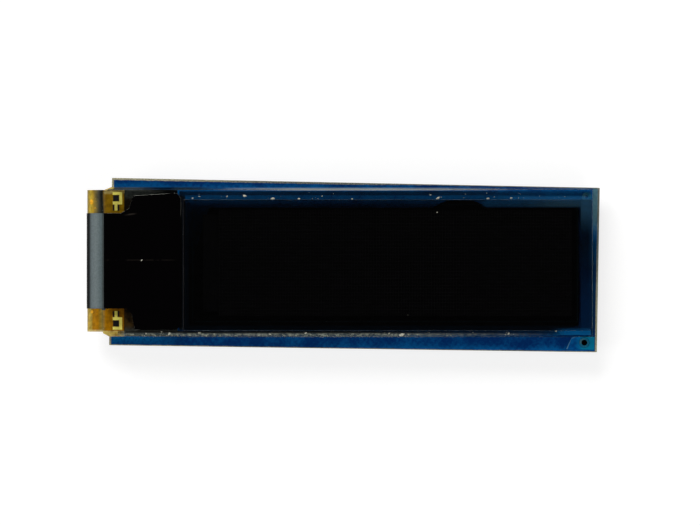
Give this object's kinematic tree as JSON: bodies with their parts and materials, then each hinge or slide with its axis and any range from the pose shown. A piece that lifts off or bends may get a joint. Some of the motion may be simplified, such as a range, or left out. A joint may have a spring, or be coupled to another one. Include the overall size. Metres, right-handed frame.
{
  "type": "small oled display module",
  "caption": "Small OLED display module: two-glass panel taped on a blue circuit board, with a flex circuit folded round one end to the back and chip parts behind.",
  "frame": {"origin": "middle of the module's outline, at the level of the lowest chip parts on the back", "axes": "+X along the board from the folded flex towards the wire pads, +Y across it, +Z out of the display's face"},
  "size_m": [0.0298, 0.0098, 0.0036],
  "materials": {
    "blue_board": "blue solder mask over glass-fibre laminate, semi-gloss",
    "masked_copper": "copper under blue solder mask",
    "tinned_copper": "tinned copper, satin",
    "gold_copper": "gold-plated copper, satin",
    "black_tape": "black adhesive tape, matt",
    "clear_glass": "clear soda-lime glass with ground edges",
    "seal": "dark cured sealant",
    "getter": "dark drying sheet",
    "emitter": "dark light-emitting layers under a metal film",
    "dark_metal": "dark metal film on glass",
    "polarizer": "dark polarizing film, semi-gloss",
    "silicon": "silicon die, polished",
    "resin": "black coating resin",
    "bond_film": "conductive bonding film",
    "amber_film": "amber polyimide film, translucent",
    "copper": "bare copper foil",
    "grey_coat": "grey flexible cover coat, satin",
    "solder": "solder, bright",
    "capacitor": "fired tan ceramic, matt",
    "part_ends": "tin-plated end cap",
    "alumina": "white ceramic, matt",
    "resistor_coat": "black glaze coat",
    "moulding": "black moulded epoxy, matt"
  },
  "bodies": {
    "root": {"circuit_board": "blue_board", "plated_vias": "tinned_copper", "front_copper": "masked_copper", "back_tracks": "masked_copper", "part_pads": "tinned_copper", "flex_pads": "gold_copper", "wire_pads": "gold_copper", "mounting_tape": "black_tape", "rear_glass": "clear_glass", "edge_seal": "seal", "getter_sheet": "getter", "emitter_layers": "emitter", "front_glass": "clear_glass", "glass_marks": "dark_metal", "polarizer": "polarizer", "ledge_tape": "black_tape", "driver_chip": "silicon", "ledge_resin": "resin", "bond_films": "bond_film", "flex_film": "amber_film", "flex_traces": "copper", "flex_coat": "grey_coat", "flex_marks": "gold_copper", "flex_solder": "solder", "capacitor_bodies": "capacitor", "capacitor_ends": "part_ends", "resistor_bodies": "alumina", "resistor_coats": "resistor_coat", "resistor_ends": "part_ends", "regulator_body": "moulding", "regulator_legs": "part_ends", "part_solder": "solder"}
  },
  "joints": []
}
